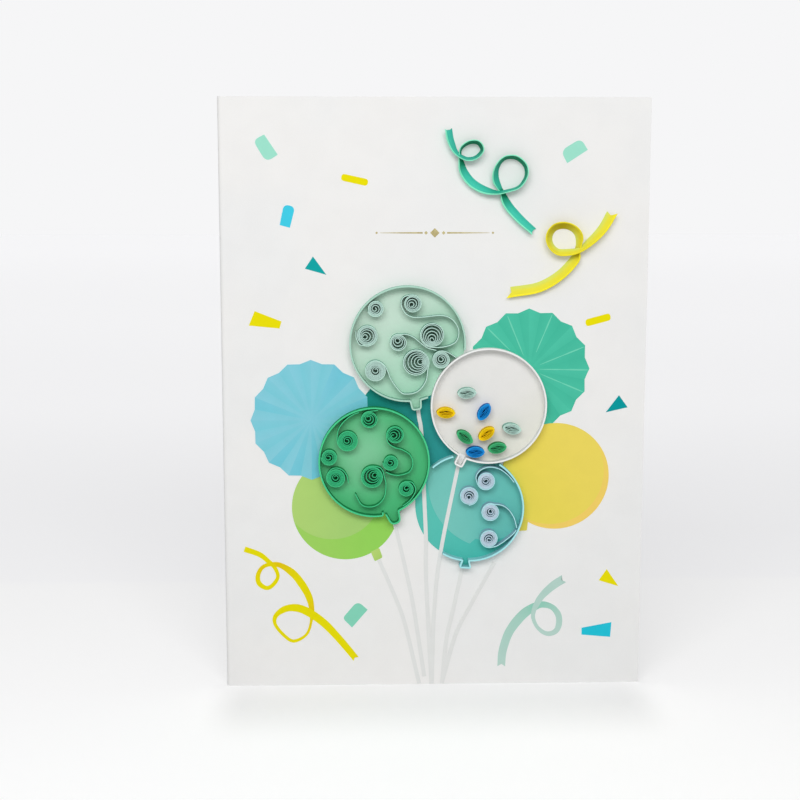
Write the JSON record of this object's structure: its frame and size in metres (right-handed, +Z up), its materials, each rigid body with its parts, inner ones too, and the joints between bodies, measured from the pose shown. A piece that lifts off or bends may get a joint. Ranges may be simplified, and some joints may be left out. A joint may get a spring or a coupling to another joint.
{
  "type": "quilled paper greeting card",
  "caption": "Folded card that stands on its lower edges, with balloons, coils, scrolls and streamers made of paper strips set on edge on its front.",
  "frame": {"origin": "centre of the standing card's bounding box, on the surface that it stands on", "axes": "+Z up along the fold, -Y out of the decorated front, +X from the fold to the front's free edge"},
  "size_m": [0.127, 0.094, 0.1778],
  "materials": {
    "card_white": "matt",
    "mint_paper": "matt",
    "grey_mint_paper": "matt",
    "green_paper": "matt",
    "light_blue_paper": "matt",
    "pale_blue_paper": "matt",
    "white_paper": "matt",
    "yellow_paper": "matt",
    "blue_paper": "matt",
    "leaf_green_paper": "matt",
    "teal_paper": "matt",
    "lemon_paper": "matt"
  },
  "bodies": {
    "root": {"card": "card_white", "mint_balloon_rim": "mint_paper", "mint_coil_upper_left": "grey_mint_paper", "mint_curl_left": "grey_mint_paper", "mint_scroll_upper": "grey_mint_paper", "mint_curl_middle": "grey_mint_paper", "mint_scroll_lower": "grey_mint_paper", "mint_curl_right": "grey_mint_paper", "green_balloon_rim": "green_paper", "green_coil_top": "green_paper", "green_curl_upper_left": "green_paper", "green_coil_left": "green_paper", "green_curl_lower_left": "green_paper", "green_curl_upper_right": "green_paper", "green_coil_middle": "green_paper", "green_curl_lower": "green_paper", "green_curl_right": "green_paper", "teal_balloon_rim": "light_blue_paper", "teal_balloon_rim_short": "light_blue_paper", "teal_curl_upper": "pale_blue_paper", "teal_coil_middle": "pale_blue_paper", "teal_curl_right": "pale_blue_paper", "teal_curl_lower": "pale_blue_paper", "white_balloon_rim": "white_paper", "marquise_mint_upper": "grey_mint_paper", "marquise_yellow_left": "yellow_paper", "marquise_blue_middle": "blue_paper", "marquise_mint_right": "grey_mint_paper", "marquise_green_left": "leaf_green_paper", "marquise_yellow_lower": "yellow_paper", "marquise_green_lower": "leaf_green_paper", "marquise_blue_lower": "blue_paper", "teal_streamer": "teal_paper", "yellow_streamer": "lemon_paper"}
  },
  "joints": []
}
